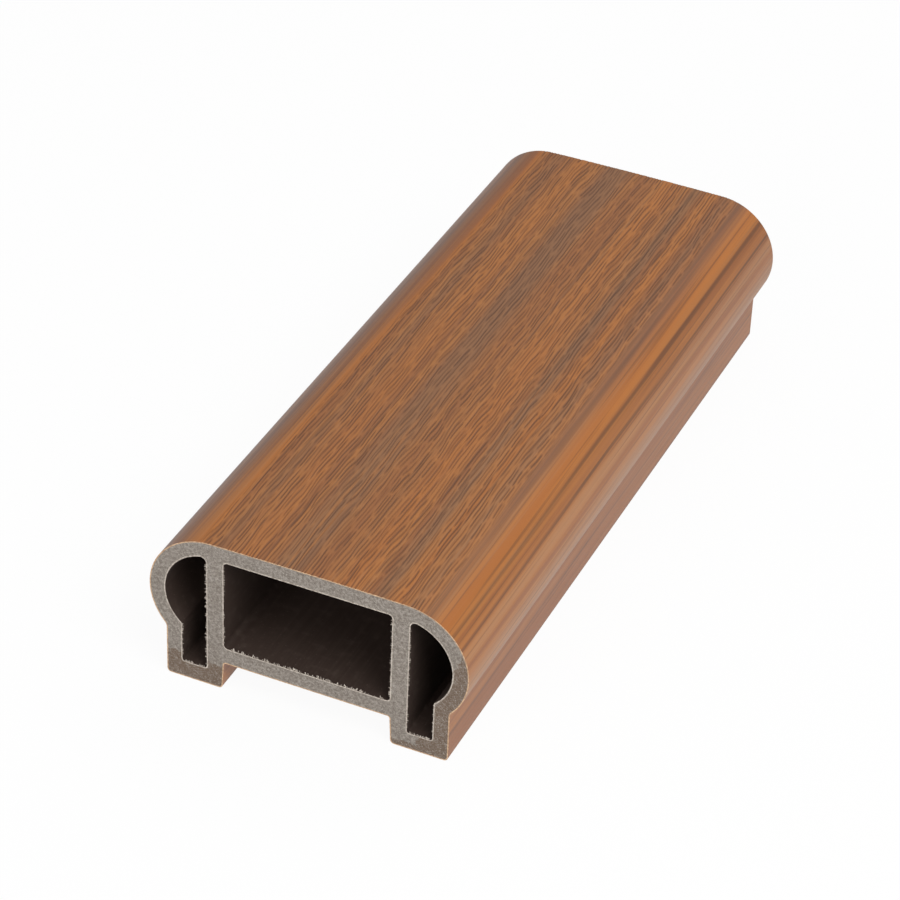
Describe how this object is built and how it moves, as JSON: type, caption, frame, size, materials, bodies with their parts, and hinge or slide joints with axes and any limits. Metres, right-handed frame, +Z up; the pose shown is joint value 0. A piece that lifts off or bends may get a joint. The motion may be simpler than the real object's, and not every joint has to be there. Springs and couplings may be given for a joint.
{
  "type": "handrail profile",
  "caption": "Hollow composite handrail profile with round shoulders, a wood-grain skin, three chambers and an open channel below.",
  "frame": {"origin": "on the floor under the middle of the rail", "axes": "+X across the rail, +Y along its length, +Z up"},
  "size_m": [0.1, 0.245, 0.051],
  "materials": {
    "composite": "satin, embossed wood grain"
  },
  "bodies": {
    "root": {"top_rail": "composite"}
  },
  "joints": []
}
